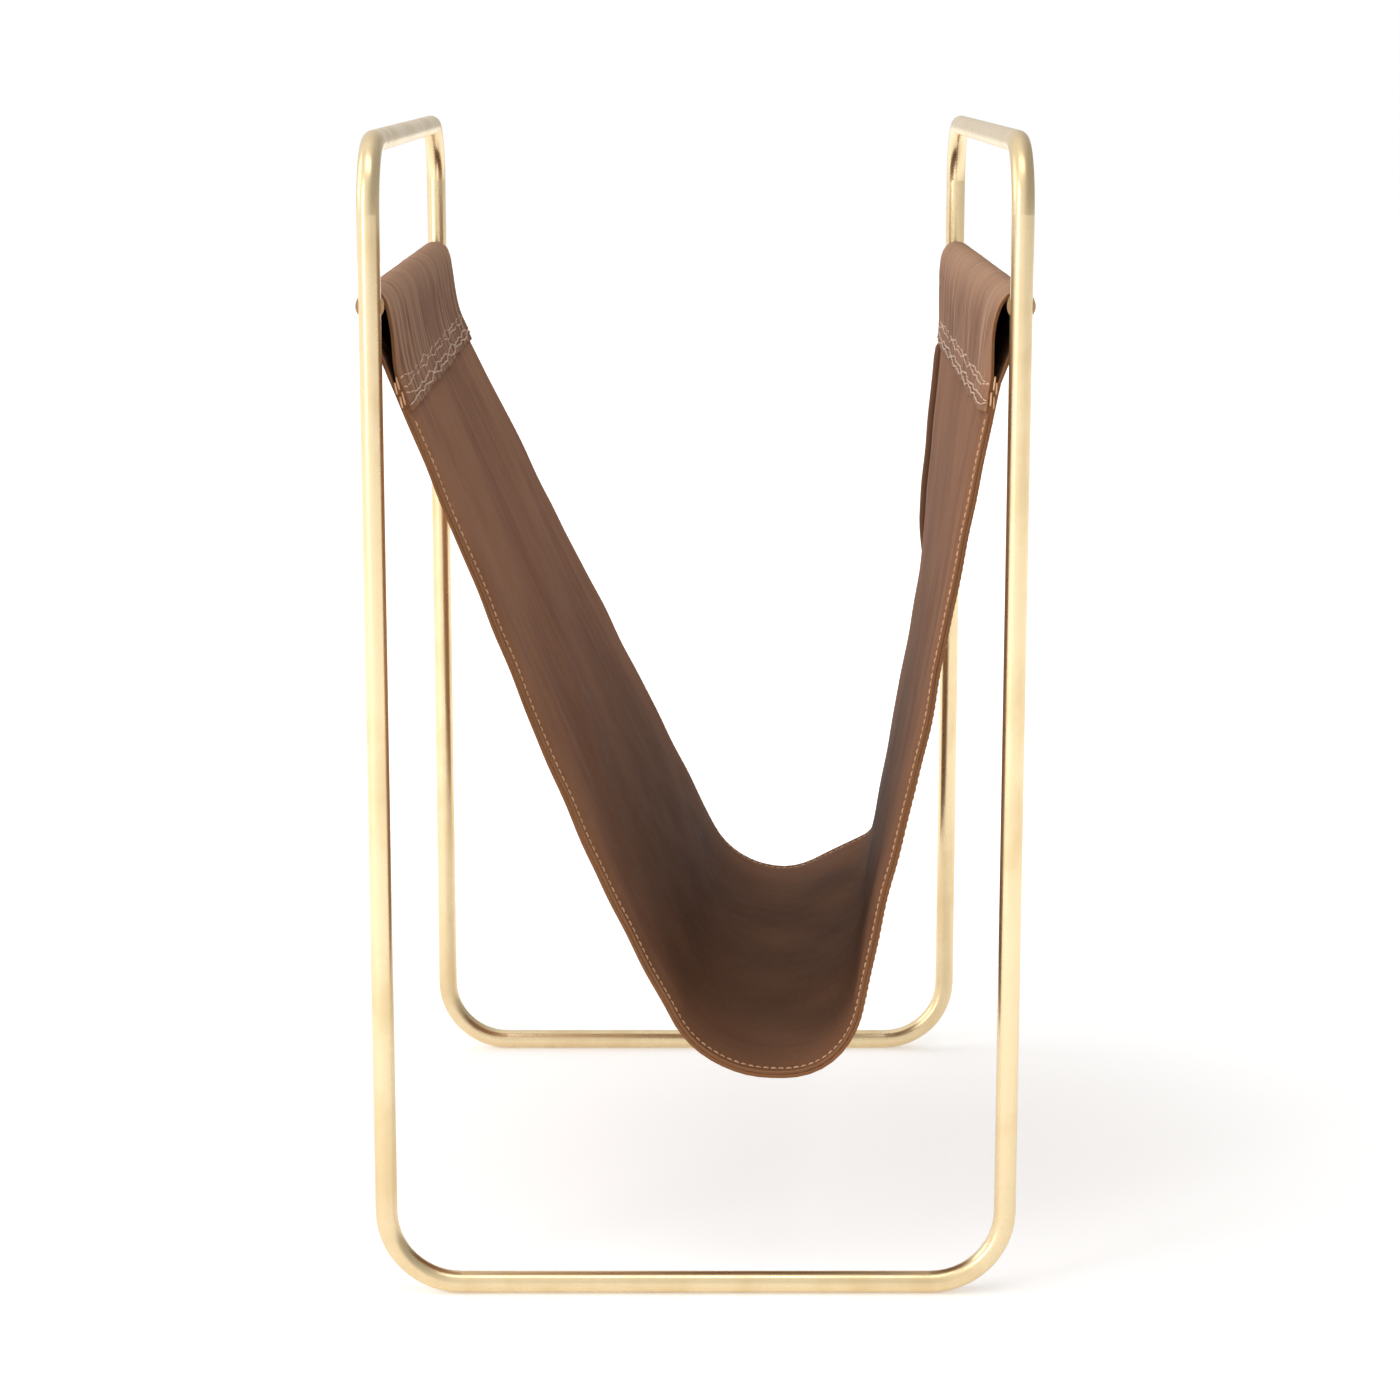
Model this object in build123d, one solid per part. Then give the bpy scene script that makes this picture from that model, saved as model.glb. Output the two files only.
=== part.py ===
from build123d import *
import math
import os

# Magazine rack: one closed loop of bent brass tube with a leather sling hung between two side rails.
# Millimetres. +Z is up, +X to the right and +Y to the back. The origin is on the floor, in the
# middle of the object.

# ---- driving dimensions ------------------------------------------------------------------------
overall_width = 250.0
overall_depth = 320.0
overall_height = 450.0

# frame tube
tube_diameter = 8.5
tube_wall = 1.2
bottom_bend_radius = 29.0
top_bend_radius = 26.0

# spigot inside each butt joint of the frame
spigot_length = 44.0
spigot_clearance = 0.05

# side rails that carry the sling, cut from the frame's own tube and brazed to the legs
rail_below_top_bar = 59.75
braze_gap = 0.05
fillet_leg = 1.1

# leather sling: two layers, with a loop and a flap at each end
leather = 2.0
lining = 2.0
sling_side_gap = 1.5
loop_clearance = 0.2
sewn_drop = 29.0
sewn_inset = 10.7
flap_overlap = 14.0
lining_setback = 1.0

# the round bottom of the hanging sling, measured on its outer face; it hangs off centre, as a
# sling does when what it holds leans over
bottom_radius = 43.0
bottom_floor_gap = 86.0
bottom_shift = 35.0

# sewing thread
thread_width = 0.7
thread_height = 0.35
edge_seam_inset = 4.0
edge_seam_stop = 2.0
loop_seam_first = 2.5
loop_seam_pitch = 4.0
loop_seam_rows = 3
loop_seam_end_gap = 3.0

# solids that start at their plane instead of straddling it
FROM_BASE = (Align.CENTER, Align.CENTER, Align.MIN)

# ---- worked out from the driving dimensions ----------------------------------------------------
tube_radius = tube_diameter / 2
rail_radius = tube_radius
leg_x = overall_width / 2 - tube_radius
leg_y = overall_depth / 2 - tube_radius
bar_low = tube_radius
bar_high = overall_height - tube_radius
rail_height = bar_high - rail_below_top_bar
sling_half = leg_y - tube_radius - sling_side_gap
loop_inner = rail_radius + loop_clearance
loop_outer = loop_inner + leather
sewn_x = leg_x + tube_radius - sewn_inset
sewn_z = rail_height - sewn_drop


# ---- plane geometry of the sling's section: points are (x, z) ----------------------------------
def step(point, direction, distance):
    """The point that lies a distance along a unit direction."""
    return (point[0] + direction[0] * distance, point[1] + direction[1] * distance)


def heading(start, end):
    """Unit direction from start to end."""
    length = math.hypot(end[0] - start[0], end[1] - start[1])
    return ((end[0] - start[0]) / length, (end[1] - start[1]) / length)


def left_of(direction):
    """Unit direction a quarter turn to the left."""
    return (-direction[1], direction[0])


def parallel_path(points, distance):
    """The same open path moved to its left by a distance, with its corners kept sharp."""
    headings = [heading(a, b) for a, b in zip(points, points[1:])]
    moved = [step(points[0], left_of(headings[0]), distance)]
    for corner, before, after in zip(points[1:], headings, headings[1:]):
        a, b = left_of(before), left_of(after)
        reach = distance / (1 + a[0] * b[0] + a[1] * b[1])
        both = (a[0] + b[0], a[1] + b[1])
        moved.append(step(corner, both, reach))
    moved.append(step(points[-1], left_of(headings[-1]), distance))
    return moved


def touch_point(outside, centre, radius, turn):
    """Where a line from an outside point touches a circle; turn is +1 or -1 for the two sides."""
    reach = math.dist(outside, centre)
    lean = math.atan2(centre[1] - outside[1], centre[0] - outside[0])
    swing = lean + turn * math.asin(radius / reach)
    length = math.sqrt(reach ** 2 - radius ** 2)
    return step(outside, (math.cos(swing), math.sin(swing)), length)


def spatial(point):
    """A point of the section as a point in space."""
    return (point[0], 0, point[1])


# The body of the sling, seen from the front and walked from left to right, has its inside on the
# left of the path: a straight panel, the round bottom, and the other straight panel.
left_sewn = (-sewn_x, sewn_z)
right_sewn = (sewn_x, sewn_z)
left_rail = (-leg_x, rail_height)
right_rail = (leg_x, rail_height)
bottom_centre = (bottom_shift, bottom_floor_gap + bottom_radius)
left_touch = touch_point(left_sewn, bottom_centre, bottom_radius, -1)
right_touch = touch_point(right_sewn, bottom_centre, bottom_radius, 1)
left_down = heading(left_sewn, left_touch)
right_down = heading(right_sewn, right_touch)
left_inward = left_of(left_down)
right_inward = left_of((-right_down[0], -right_down[1]))


def panel_point(side, distance, down=0.0):
    """A point on a straight panel, at a distance inside its outer face and below the sewn line."""
    start, direction, inward = (
        (left_sewn, left_down, left_inward) if side < 0 else (right_sewn, right_down, right_inward)
    )
    return step(step(start, direction, down), inward, distance)


def round_bottom(distance):
    """The arc between the two panels at a distance inside the outer face, from left to right."""
    left = step(left_touch, left_inward, distance)
    right = step(right_touch, right_inward, distance)
    lowest = (bottom_centre[0], bottom_centre[1] - bottom_radius + distance)
    return ThreePointArc(spatial(left), spatial(lowest), spatial(right))


def panel_edges(distance, down):
    """The body's path at a distance inside its outer face; down is how far its ends are cut back."""
    arc = round_bottom(distance)
    left = Line(spatial(panel_point(-1, distance, down)), arc @ 0)
    right = Line(arc @ 1, spatial(panel_point(1, distance, down)))
    return [left, arc, right]


def loop_start(side, distance):
    """Where the body's line leaves the loop's arc over the rail, and the corner at the sewn line."""
    sewn, rail, touch = (
        (left_sewn, left_rail, left_touch) if side < 0 else (right_sewn, right_rail, right_touch)
    )
    top = touch_point(sewn, rail, loop_outer, -side)
    path = [top, sewn, touch] if side < 0 else [touch, sewn, top]
    moved = parallel_path(path, distance)
    return (moved[0], moved[1]) if side < 0 else (moved[2], moved[1])


def flap_points(side, distance):
    """The flap's path from its raw end up to the loop; side is -1 left or 1 right.

    A distance of 0 is the face against the lining, and the leather's thickness is the other face.
    """
    inside = leather + lining + distance
    bend = panel_point(side, inside, lining_setback)
    end = panel_point(side, inside, lining_setback + flap_overlap)
    rail = left_rail if side < 0 else right_rail
    return [end, bend, touch_point(bend, rail, loop_inner + distance, side)]


def loop_arc(side, distance):
    """The arc over the rail, from the body to the flap, at a distance from the loop's outside."""
    rail = left_rail if side < 0 else right_rail
    start = loop_start(side, distance)[0]
    crown = (rail[0], rail[1] + loop_outer - distance)
    flap = flap_points(side, leather - distance)[2]
    return ThreePointArc(spatial(start), spatial(crown), spatial(flap))


def long_boundary(distance):
    """One long side of the outer leather's section, from flap end to flap end."""
    edges = []
    for side in (-1, 1):
        top, corner = loop_start(side, distance)
        edges += Polyline(*[spatial(p) for p in flap_points(side, leather - distance)]).edges()
        edges += loop_arc(side, distance).edges()
        edges += Line(spatial(top), spatial(corner)).edges()
    arc = round_bottom(distance)
    edges += Line(spatial(loop_start(-1, distance)[1]), arc @ 0).edges()
    edges += arc.edges()
    edges += Line(arc @ 1, spatial(loop_start(1, distance)[1])).edges()
    return edges


def slab(edges, low, high):
    """The solid between two places along Y whose section is bounded by the edges."""
    face = Face(Wire(edges))
    face = Pos(0, low, 0) * face
    return extrude(face, amount=high - low, dir=(0, 1, 0))


# ---- sling -------------------------------------------------------------------------------------
def sling_leather():
    """The outer leather with both loops and flaps."""
    outline = long_boundary(0) + long_boundary(leather)
    for side in (-1, 1):
        raw_end = [spatial(flap_points(side, distance)[0]) for distance in (0, leather)]
        outline += Line(*raw_end).edges()
    return slab(outline, -sling_half, sling_half)


def body_strip(near_distance, far_distance, down, low, high):
    """A strip along the sling's body between two distances inside its outer face."""
    near = panel_edges(near_distance, down)
    far = panel_edges(far_distance, down)
    caps = [Line(near[0] @ 0, far[0] @ 0), Line(near[2] @ 1, far[2] @ 1)]
    edges = [edge for piece in near + far + caps for edge in piece.edges()]
    return slab(edges, low, high)


def sling_lining():
    """The inner layer, which ends under the flaps."""
    return body_strip(leather, leather + lining, lining_setback, -sling_half, sling_half)


def edge_thread(side):
    """The two threads of a long edge's seam, one on each face; side is -1 front or 1 rear."""
    middle = side * (sling_half - edge_seam_inset)
    low, high = middle - thread_width / 2, middle + thread_width / 2
    inner_face = leather + lining
    below_flap = lining_setback + flap_overlap + edge_seam_stop
    inner = body_strip(inner_face, inner_face + thread_height, below_flap, low, high)
    outer = body_strip(-thread_height, 0, below_flap, low, high)
    return [inner, outer]


def loop_thread(side):
    """Three straight rows through flap, lining and leather, on both faces; side is -1 or 1."""
    rows = []
    for face in (leather + lining + leather, -thread_height):
        for row in range(loop_seam_rows):
            down = lining_setback + loop_seam_first + row * loop_seam_pitch
            rows.append(thread_bar(side, face, down))
    return rows


def thread_bar(side, face, down):
    """A flat bar of thread along Y on one face of a panel, at a distance below the sewn line."""
    corners = [
        panel_point(side, face, down),
        panel_point(side, face, down + thread_width),
        panel_point(side, face + thread_height, down + thread_width),
        panel_point(side, face + thread_height, down),
    ]
    outline = Polyline(*[spatial(p) for p in corners], close=True)
    half_run = sling_half - loop_seam_end_gap
    return slab(outline.edges(), -half_run, half_run)


# ---- frame -------------------------------------------------------------------------------------
def tube_along(path):
    """The frame's round tube along a path that starts at the path's first point."""
    start = Plane(origin=path @ 0, z_dir=path % 0)
    ring = start * (Circle(tube_radius) - Circle(tube_radius - tube_wall))
    return sweep(ring, path=path)


def frame_half(side):
    """Half of the closed loop, from the middle of the front bar to the middle of the back bar."""
    x = side * leg_x
    corners = [
        (0, -leg_y, bar_low),
        (x, -leg_y, bar_low),
        (x, -leg_y, bar_high),
        (x, leg_y, bar_high),
        (x, leg_y, bar_low),
        (0, leg_y, bar_low),
    ]
    radii = [bottom_bend_radius, top_bend_radius, top_bend_radius, bottom_bend_radius]
    return tube_along(FilletPolyline(*corners, radius=radii))


def joint_spigot(y):
    """The bar inside a butt joint of the frame."""
    radius = tube_radius - tube_wall - spigot_clearance
    centre = Plane(origin=(-spigot_length / 2, y, bar_low), z_dir=(1, 0, 0))
    return extrude(centre * Circle(radius), amount=spigot_length)


def leg_cylinder(x, y, radius):
    """A solid cylinder on a leg's axis, around the height of the rails."""
    reach = 4 * tube_diameter
    base = Plane(origin=(x, y, rail_height - reach / 2))
    return extrude(base * Circle(radius), amount=reach)


def sling_rail(side):
    """A straight tube between the legs, with its ends cut to the legs' round sides."""
    x = side * leg_x
    rail = tube_along(Line((x, -leg_y, rail_height), (x, leg_y, rail_height)))
    for y in (-leg_y, leg_y):
        rail = rail - leg_cylinder(x, y, tube_radius + braze_gap)
    return rail


def rail_fillet(x, end):
    """The small fillet of braze around a rail where it meets a leg; end is -1 front or 1 rear."""
    y = end * leg_y
    foot = tube_radius + fillet_leg
    root = Plane(origin=(x, y, rail_height), z_dir=(0, -end, 0))
    slope = root * Cone(rail_radius + foot, rail_radius, foot, align=FROM_BASE)
    near_rail = extrude(root * Circle(rail_radius + fillet_leg), amount=foot)
    near_leg = leg_cylinder(x, y, tube_radius + fillet_leg)
    rail_space = extrude(root * Circle(rail_radius), amount=foot)
    return (slope & near_rail & near_leg) - leg_cylinder(x, y, tube_radius) - rail_space


# ---- build every piece -------------------------------------------------------------------------
def pieces():
    """Each piece by its name, as one solid or a group of separate solids."""
    fillets = [rail_fillet(side * leg_x, end) for side in (-1, 1) for end in (-1, 1)]
    return {
        "frame_left_half": [frame_half(-1)],
        "frame_right_half": [frame_half(1)],
        "front_joint_spigot": [joint_spigot(-leg_y)],
        "rear_joint_spigot": [joint_spigot(leg_y)],
        "left_sling_rail": [sling_rail(-1)],
        "right_sling_rail": [sling_rail(1)],
        "rail_fillets": fillets,
        "sling_leather": [sling_leather()],
        "sling_lining": [sling_lining()],
        "front_edge_thread": edge_thread(-1),
        "rear_edge_thread": edge_thread(1),
        "left_loop_thread": loop_thread(-1),
        "right_loop_thread": loop_thread(1),
    }


os.makedirs("parts", exist_ok=True)
for name, group in pieces().items():
    solids = [solid for shape in group for solid in shape.solids()]
    shape = solids[0] if len(solids) == 1 else Compound(children=solids)
    export_step(shape, f"parts/{name}.step")
    print(f"{name}: {len(solids)} solid(s), {sum(s.volume for s in solids):.1f} mm3")
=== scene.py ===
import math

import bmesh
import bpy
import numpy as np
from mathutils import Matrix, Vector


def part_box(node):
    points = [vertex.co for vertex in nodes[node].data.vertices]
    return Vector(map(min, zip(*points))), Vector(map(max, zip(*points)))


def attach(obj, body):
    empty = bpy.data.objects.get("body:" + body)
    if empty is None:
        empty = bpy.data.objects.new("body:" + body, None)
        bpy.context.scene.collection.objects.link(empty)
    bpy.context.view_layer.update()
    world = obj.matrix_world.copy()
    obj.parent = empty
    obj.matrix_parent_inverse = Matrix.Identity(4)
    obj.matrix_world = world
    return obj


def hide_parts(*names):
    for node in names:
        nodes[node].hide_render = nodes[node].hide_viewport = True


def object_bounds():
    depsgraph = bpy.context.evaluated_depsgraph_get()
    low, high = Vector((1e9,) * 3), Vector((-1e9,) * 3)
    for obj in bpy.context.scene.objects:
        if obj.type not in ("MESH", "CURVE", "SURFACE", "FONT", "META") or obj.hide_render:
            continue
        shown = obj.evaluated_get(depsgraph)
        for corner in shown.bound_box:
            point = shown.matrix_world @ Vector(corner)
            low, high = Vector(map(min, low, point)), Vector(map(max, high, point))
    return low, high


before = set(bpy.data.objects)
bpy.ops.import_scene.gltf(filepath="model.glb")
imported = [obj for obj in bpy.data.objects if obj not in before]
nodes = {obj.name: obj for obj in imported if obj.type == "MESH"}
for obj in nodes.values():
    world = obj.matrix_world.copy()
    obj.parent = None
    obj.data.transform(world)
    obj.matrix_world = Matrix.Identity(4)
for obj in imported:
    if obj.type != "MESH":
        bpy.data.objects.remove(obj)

# %% [markdown]
# # A magazine rack in brass tube and leather
#
# The real rack is one closed loop of bent brass tube. Two short rails cross it near the top, and a
# sling of two leather layers hangs between them. The engineering model is already loaded above: every
# part of it sits in its true place, in metres. This notebook gives the metal its finish, and replaces
# the plain sling and its thread with leather that hangs, creases and is stitched.
#
# The first cell brings in the tools and keeps the size of the model.

model_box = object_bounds()
print("model box, m:", [tuple(round(v, 4) for v in corner) for corner in model_box])

# %% [markdown]
# ## The camera
#
# A camera in Blender looks down its own -Z, so turning it 90 degrees about X makes it look along +Y,
# and a few degrees less tips it towards the floor. A long lens stands well back, which keeps the four
# legs nearly upright. The small shift slides the picture down without tipping the camera further.

# %% Camera
tube_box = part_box("frame_right_half")
width = 2 * tube_box[1].x
height = model_box[1].z - model_box[0].z
camera_data = bpy.data.cameras.new("camera")
camera_data.sensor_width = 36.0
camera_data.lens = 81.8
camera_data.shift_x = 0.00146
camera_data.shift_y = -0.0429
camera_data.clip_start = 0.05
camera = bpy.data.objects.new("camera", camera_data)
camera.location = (0.0009, -5.348 * width, 1.066 * height)
camera.rotation_euler = (math.radians(90.0 - 10.52), 0.0, 0.0)
bpy.context.scene.collection.objects.link(camera)
bpy.context.scene.camera = camera
print("camera stands", round(-camera.location.y, 3), "m in front, at", round(camera.location.z, 3), "m")

# %% [markdown]
# ## Floor and light
#
# Polished metal has hardly any colour of its own: it shows what stands around it. A bright, even
# surround makes the tube look like pale gold, and a few large soft lamps give it streaks and edges.
# Small lamps would give hard sparkles instead. The floor is a plain pale sheet; it isn't part of the
# rack.

# %% Floor
def pale_floor():
    """A large pale sheet that the rack stands on; it glows, more strongly away from the rack."""
    mesh = bpy.data.meshes.new("floor")
    half = 6.0
    corners = [(-half, -half, 0), (half, -half, 0), (half, half, 0), (-half, half, 0)]
    mesh.from_pydata([Vector(c) for c in corners], [], [(0, 1, 2, 3)])
    floor = bpy.data.objects.new("floor", mesh)
    bpy.context.scene.collection.objects.link(floor)
    material = bpy.data.materials.new("pale_floor")
    material.use_nodes = True
    tree = material.node_tree
    shader = tree.nodes["Principled BSDF"]
    shader.inputs["Base Color"].default_value = (0.86, 0.86, 0.86, 1.0)
    shader.inputs["Roughness"].default_value = 0.9
    shader.inputs["Specular IOR Level"].default_value = 0.1
    shader.inputs["Emission Color"].default_value = (1.0, 1.0, 1.0, 1.0)
    where = tree.nodes.new("ShaderNodeTexCoord")
    length = tree.nodes.new("ShaderNodeVectorMath")
    length.operation = "LENGTH"
    tree.links.new(where.outputs["Object"], length.inputs[0])
    # Painted light: the floor glows, weakly near the rack and more strongly further out, so the far
    # floor stays white and only soft shadows show close by.
    glow = tree.nodes.new("ShaderNodeMapRange")
    glow.interpolation_type = "SMOOTHSTEP"
    tree.links.new(length.outputs["Value"], glow.inputs["Value"])
    for label, value in (("From Min", 0.2), ("From Max", 0.8), ("To Min", 0.31), ("To Max", 0.55)):
        glow.inputs[label].default_value = value
    tree.links.new(glow.outputs["Result"], shader.inputs["Emission Strength"])
    mesh.materials.append(material)
    return floor


pale_floor()
bpy.context.scene.view_settings.view_transform = "Standard"

# %% Surround and lamps
def studio_surround():
    """A bright surround that is greyer on the right and high behind, and plain white to the camera."""
    world = bpy.data.worlds.new("studio")
    bpy.context.scene.world = world
    world.use_nodes = True
    tree = world.node_tree
    light = tree.nodes["Background"]
    where = tree.nodes.new("ShaderNodeTexCoord")
    split = tree.nodes.new("ShaderNodeSeparateXYZ")
    tree.links.new(where.outputs["Generated"], split.inputs[0])

    def part(output, low, high, at_low, at_high):
        """The brightness of one side of the surround."""
        node = tree.nodes.new("ShaderNodeMapRange")
        node.interpolation_type = "SMOOTHSTEP"
        tree.links.new(split.outputs[output], node.inputs["Value"])
        for label, value in (("From Min", low), ("From Max", high), ("To Min", at_low),
                             ("To Max", at_high)):
            node.inputs[label].default_value = value
        return node.outputs["Result"]

    sideways = part("X", -0.3, 0.8, 1.06, 0.46)
    behind = part("Y", 0.45, 0.9, 1.0, 0.8)
    both = tree.nodes.new("ShaderNodeMath")
    both.operation = "MULTIPLY"
    tree.links.new(sideways, both.inputs[0])
    tree.links.new(behind, both.inputs[1])
    tree.links.new(both.outputs[0], light.inputs["Strength"])
    light.inputs["Color"].default_value = (1.0, 0.99, 0.975, 1.0)
    plain = tree.nodes.new("ShaderNodeBackground")
    plain.inputs["Strength"].default_value = 1.0
    plain.inputs["Color"].default_value = (1.0, 1.0, 1.0, 1.0)
    path = tree.nodes.new("ShaderNodeLightPath")
    choose = tree.nodes.new("ShaderNodeMixShader")
    tree.links.new(path.outputs["Is Camera Ray"], choose.inputs["Fac"])
    tree.links.new(light.outputs[0], choose.inputs[1])
    tree.links.new(plain.outputs[0], choose.inputs[2])
    tree.links.new(choose.outputs[0], tree.nodes["World Output"].inputs["Surface"])


studio_surround()


def soft_lamp(name, place, aim, size, strength):
    """A square soft lamp; strength is how bright its face looks, with the white surround as 1."""
    data = bpy.data.lights.new(name, "AREA")
    data.shape = "RECTANGLE"
    data.size, data.size_y = size
    data.energy = strength * math.pi * size[0] * size[1]
    lamp = bpy.data.objects.new(name, data)
    lamp.location = place
    lamp.rotation_euler = (Vector(aim) - Vector(place)).to_track_quat("-Z", "Y").to_euler()
    bpy.context.scene.collection.objects.link(lamp)
    return lamp


soft_lamp("left_lamp", (-1.5, -1.4, 0.9), (0, 0, 0.25), (0.5, 1.6), 3.4)
soft_lamp("window_lamp", (-1.9, 0.3, 1.1), (0, 0, 0.25), (1.1, 1.1), 1.6)
soft_lamp("top_lamp", (-0.1, -0.6, 1.9), (0, 0, 0.1), (1.3, 0.6), 2.0)

# %% [markdown]
# ## Brass tube
#
# The frame is satin brass: a metal with a soft, slightly blurred gloss. It was brushed along its
# length, so its finest lines run with the tube, around every bend. A brushed line is a noise texture
# squeezed in two directions and left long in the third. The tube runs three ways, up the legs, across
# the bottom and from front to back, so the group below makes one noise for each way and fades
# between them inside the bends.
#
# A shader node group is a recipe with named inputs and outputs. It is built once, and brass and steel
# both use it with their own numbers.

# %% Helpers for node groups
def new_group(name, inputs, outputs):
    """A shader node group with float, vector or colour sockets; returns the tree and its two ends."""
    kinds = {"float": "NodeSocketFloat", "vector": "NodeSocketVector", "color": "NodeSocketColor"}
    tree = bpy.data.node_groups.new(name, "ShaderNodeTree")
    for label, kind, value in inputs:
        socket = tree.interface.new_socket(name=label, in_out="INPUT", socket_type=kinds[kind])
        if value is not None:
            socket.default_value = value
    for label, kind in outputs:
        tree.interface.new_socket(name=label, in_out="OUTPUT", socket_type=kinds[kind])
    return tree, tree.nodes.new("NodeGroupInput"), tree.nodes.new("NodeGroupOutput")


def feed(tree, socket, value):
    """Sets an input socket, or links it when the value is another node's output."""
    if isinstance(value, bpy.types.NodeSocket):
        tree.links.new(value, socket)
    elif value is not None:
        socket.default_value = value


def maths(tree, operation, first, second=None, clamp=False):
    """A maths node; returns its output."""
    node = tree.nodes.new("ShaderNodeMath")
    node.operation = operation
    node.use_clamp = clamp
    feed(tree, node.inputs[0], first)
    feed(tree, node.inputs[1], second)
    return node.outputs[0]


def fade(tree, value, low, high, out_low=0.0, out_high=1.0):
    """A smooth step: out_low where value is at low, and out_high where it is at high."""
    node = tree.nodes.new("ShaderNodeMapRange")
    node.interpolation_type = "SMOOTHSTEP"
    feed(tree, node.inputs["Value"], value)
    feed(tree, node.inputs["From Min"], low)
    feed(tree, node.inputs["From Max"], high)
    feed(tree, node.inputs["To Min"], out_low)
    feed(tree, node.inputs["To Max"], out_high)
    return node.outputs["Result"]


def blend(tree, factor, first, second, kind="RGBA", mode="MIX"):
    """A mix of two colours (RGBA) or two numbers (FLOAT)."""
    node = tree.nodes.new("ShaderNodeMix")
    node.data_type = kind
    if kind == "RGBA":
        node.blend_type = mode
    picks = {"RGBA": (6, 7, 2), "FLOAT": (2, 3, 0)}[kind]
    feed(tree, node.inputs[0], factor)
    feed(tree, node.inputs[picks[0]], first)
    feed(tree, node.inputs[picks[1]], second)
    return node.outputs[picks[2]]


def stretched_noise(tree, coordinates, scale, detail=2.0, rough=0.5):
    """Noise with its own scale along each axis, in features per metre."""
    mapping = tree.nodes.new("ShaderNodeMapping")
    feed(tree, mapping.inputs["Vector"], coordinates)
    feed(tree, mapping.inputs["Scale"], scale)
    noise = tree.nodes.new("ShaderNodeTexNoise")
    noise.inputs["Scale"].default_value = 1.0
    noise.inputs["Detail"].default_value = detail
    noise.inputs["Roughness"].default_value = rough
    tree.links.new(mapping.outputs["Vector"], noise.inputs["Vector"])
    return noise.outputs["Fac"]


# %% The brushed-line group
def brushed_lines_group():
    """Fine lines along the tube, which runs up the legs, across the bottom and along the top."""
    tree, given, made = new_group(
        "brushed_lines",
        [("Place", "vector", None), ("Lines per metre", "float", 2200.0),
         ("Length per metre", "float", 30.0), ("Bottom", "float", 0.035), ("Top", "float", 0.424)],
        [("Lines", "float"), ("Patches", "float")],
    )
    place = given.outputs["Place"]
    fine, long = given.outputs["Lines per metre"], given.outputs["Length per metre"]
    split = tree.nodes.new("ShaderNodeSeparateXYZ")
    tree.links.new(place, split.inputs[0])
    ways = []
    for order in ("up", "across", "along"):
        scale = tree.nodes.new("ShaderNodeCombineXYZ")
        for axis, way in enumerate(("across", "along", "up")):
            tree.links.new(long if way == order else fine, scale.inputs[axis])
        ways.append(stretched_noise(tree, place, scale.outputs[0], detail=3.0, rough=0.6))
    low = maths(tree, "SUBTRACT", given.outputs["Bottom"], 0.026)
    at_bottom = fade(tree, split.outputs["Z"], given.outputs["Bottom"], low)
    high = maths(tree, "ADD", given.outputs["Top"], 0.018)
    at_top = fade(tree, split.outputs["Z"], given.outputs["Top"], high)
    lines = blend(tree, at_bottom, ways[0], ways[1], "FLOAT")
    lines = blend(tree, at_top, lines, ways[2], "FLOAT")
    tree.links.new(lines, made.inputs["Lines"])
    patches = stretched_noise(tree, place, (38.0, 38.0, 24.0), detail=4.0, rough=0.6)
    tree.links.new(patches, made.inputs["Patches"])
    return tree


brushed_lines = brushed_lines_group()


def placed_group(tree, group, **values):
    """Puts a node group in a material; an underscore in a name stands for a space."""
    node = tree.nodes.new("ShaderNodeGroup")
    node.node_tree = group
    for name, value in values.items():
        feed(tree, node.inputs[name.replace("_", " ")], value)
    return node


def new_material(name):
    """A material with a Principled BSDF; returns it with its tree and shader."""
    material = bpy.data.materials.new(name)
    material.use_nodes = True
    tree = material.node_tree
    return material, tree, tree.nodes["Principled BSDF"]


def bump(tree, shader, height, distance, strength=1.0, under=None):
    """Sends a height in 0 to 1 to the shader's normal; distance is what 1 stands for, in metres."""
    node = tree.nodes.new("ShaderNodeBump")
    node.inputs["Strength"].default_value = strength
    node.inputs["Distance"].default_value = distance
    tree.links.new(height, node.inputs["Height"])
    if under is not None:
        tree.links.new(under, node.inputs["Normal"])
    tree.links.new(node.outputs["Normal"], shader.inputs["Normal"])
    return node.outputs["Normal"]


# %% [markdown]
# Satin brass isn't one colour. Where it has been handled it is a little warmer and duller, and a few
# long hair scratches catch the light. The two masks from the group steer the colour and the roughness
# by a few percent only, which is enough to stop the tube looking like plastic. The small fillets that
# hold the rails to the legs get a darker, duller brass, as if the flame had left its tone on them.

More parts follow.
